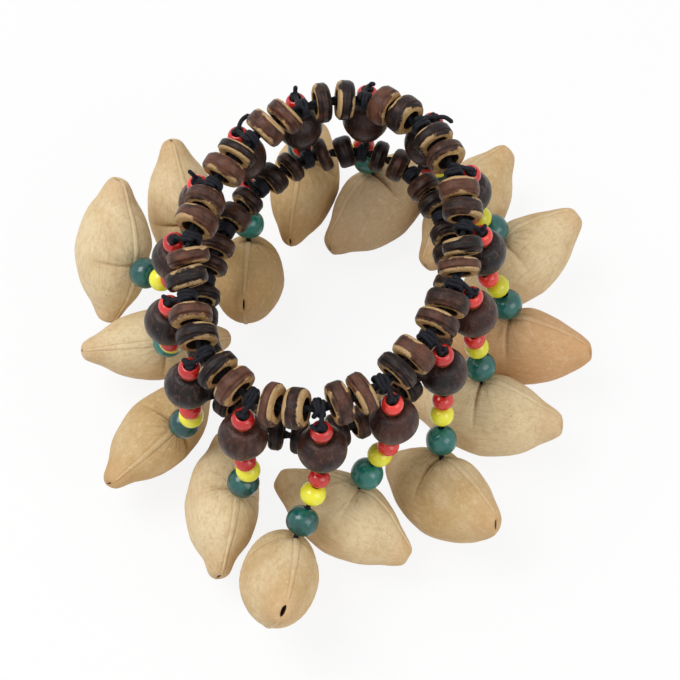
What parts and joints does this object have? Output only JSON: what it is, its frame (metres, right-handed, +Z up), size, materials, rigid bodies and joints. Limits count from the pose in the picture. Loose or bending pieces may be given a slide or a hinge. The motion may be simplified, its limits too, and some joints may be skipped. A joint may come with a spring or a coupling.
{
  "type": "nutshell shaker bracelet",
  "caption": "Open ring of dark disc and barrel beads on elastic loops, with hollow tan nutshells hung below on beaded cords that swing and rattle.",
  "frame": {"origin": "on the axis of the wrist opening, at the centre of the elastic loops, on the surface that the nutshells stand on", "axes": "+Z up along the wrist opening; +Y away from the viewer of the picture; +X to the viewer's right"},
  "size_m": [0.1196, 0.1324, 0.0614],
  "materials": {
    "elastic": "matte black elastic cord",
    "cord": "black waxed cord",
    "disc_shell": "polished dark shell with raw tan cut faces",
    "barrel_wood": "satin dark stained wood",
    "red_bead": "satin red stained wood",
    "yellow_bead": "satin yellow stained wood",
    "green_bead": "satin green stained wood",
    "nutshell": "matte fibrous tan nutshell"
  },
  "bodies": {
    "band": {"upper_elastic": "elastic", "lower_elastic": "elastic", "upper_disc_beads": "disc_shell", "lower_disc_beads": "disc_shell", "barrel_beads": "barrel_wood", "top_red_beads": "red_bead", "lower_red_beads": "red_bead", "yellow_beads": "yellow_bead", "strand_cords": "cord"},
    "drop_01": {"green_bead_01": "green_bead", "drop_cord_01": "cord", "nutshell_01": "nutshell"},
    "drop_02": {"green_bead_02": "green_bead", "drop_cord_02": "cord", "nutshell_02": "nutshell"},
    "drop_03": {"green_bead_03": "green_bead", "drop_cord_03": "cord", "nutshell_03": "nutshell"},
    "drop_04": {"green_bead_04": "green_bead", "drop_cord_04": "cord", "nutshell_04": "nutshell"},
    "drop_05": {"green_bead_05": "green_bead", "drop_cord_05": "cord", "nutshell_05": "nutshell"},
    "drop_06": {"green_bead_06": "green_bead", "drop_cord_06": "cord", "nutshell_06": "nutshell"},
    "drop_07": {"green_bead_07": "green_bead", "drop_cord_07": "cord", "nutshell_07": "nutshell"},
    "drop_08": {"green_bead_08": "green_bead", "drop_cord_08": "cord", "nutshell_08": "nutshell"},
    "drop_09": {"green_bead_09": "green_bead", "drop_cord_09": "cord", "nutshell_09": "nutshell"},
    "drop_10": {"green_bead_10": "green_bead", "drop_cord_10": "cord", "nutshell_10": "nutshell"},
    "drop_11": {"green_bead_11": "green_bead", "drop_cord_11": "cord", "nutshell_11": "nutshell"},
    "drop_12": {"green_bead_12": "green_bead", "drop_cord_12": "cord", "nutshell_12": "nutshell"},
    "drop_13": {"green_bead_13": "green_bead", "drop_cord_13": "cord", "nutshell_13": "nutshell"},
    "drop_14": {"green_bead_14": "green_bead", "drop_cord_14": "cord", "nutshell_14": "nutshell"},
    "drop_15": {"green_bead_15": "green_bead", "drop_cord_15": "cord", "nutshell_15": "nutshell"}
  },
  "joints": [
    {"name": "swing_01", "type": "hinge", "parent": "band", "child": "drop_01", "pos_m": [-0.00613, 0.04368, 0.03037], "axis": [0.9165, 0.4, 0], "range_deg": [0, 30]},
    {"name": "swing_02", "type": "hinge", "parent": "band", "child": "drop_02", "pos_m": [-0.01805, 0.02698, 0.02692], "axis": [0.6854, 0.7282, 0], "range_deg": [-20, 0]},
    {"name": "swing_03", "type": "hinge", "parent": "band", "child": "drop_03", "pos_m": [-0.02949, 0.01994, 0.02765], "axis": [0.4342, 0.9008, 0], "range_deg": [-5, 30]},
    {"name": "swing_04", "type": "hinge", "parent": "band", "child": "drop_04", "pos_m": [-0.0387, 0.00679, 0.02963], "axis": [0.1715, 0.9852, 0], "range_deg": [0, 30]},
    {"name": "swing_05", "type": "hinge", "parent": "band", "child": "drop_05", "pos_m": [-0.03434, -0.00777, 0.02786], "axis": [-0.1277, 0.9918, 0], "range_deg": [-5, 10]},
    {"name": "swing_06", "type": "hinge", "parent": "band", "child": "drop_06", "pos_m": [-0.02937, -0.0264, 0.02689], "axis": [-0.4956, 0.8686, 0], "range_deg": [-10, 30]},
    {"name": "swing_07", "type": "hinge", "parent": "band", "child": "drop_07", "pos_m": [-0.01643, -0.03931, 0.02689], "axis": [-0.881, 0.4732, 0], "range_deg": [-10, 30]},
    {"name": "swing_08", "type": "hinge", "parent": "band", "child": "drop_08", "pos_m": [-0.00366, -0.04643, 0.02844], "axis": [-0.9894, -0.1449, 0], "range_deg": [-10, 30]},
    {"name": "swing_09", "type": "hinge", "parent": "band", "child": "drop_09", "pos_m": [0.01025, -0.03614, 0.02765], "axis": [-0.8072, -0.5903, 0], "range_deg": [-25, 10]},
    {"name": "swing_10", "type": "hinge", "parent": "band", "child": "drop_10", "pos_m": [0.02485, -0.02744, 0.02738], "axis": [-0.5604, -0.8282, 0], "range_deg": [-20, 30]},
    {"name": "swing_11", "type": "hinge", "parent": "band", "child": "drop_11", "pos_m": [0.03359, -0.01012, 0.02706], "axis": [-0.3055, -0.9522, 0], "range_deg": [-25, 30]},
    {"name": "swing_12", "type": "hinge", "parent": "band", "child": "drop_12", "pos_m": [0.03948, 0.0044, 0.02829], "axis": [-0.0286, -0.9996, 0], "range_deg": [-5, 30]},
    {"name": "swing_13", "type": "hinge", "parent": "band", "child": "drop_13", "pos_m": [0.03619, 0.02274, 0.02887], "axis": [0.3019, -0.9533, 0], "range_deg": [-10, 30]},
    {"name": "swing_14", "type": "hinge", "parent": "band", "child": "drop_14", "pos_m": [0.02685, 0.03658, 0.02947], "axis": [0.6996, -0.7146, 0], "range_deg": [-10, 30]},
    {"name": "swing_15", "type": "hinge", "parent": "band", "child": "drop_15", "pos_m": [0.00837, 0.04266, 0.02823], "axis": [0.9864, -0.1645, 0], "range_deg": [-5, 10]}
  ]
}
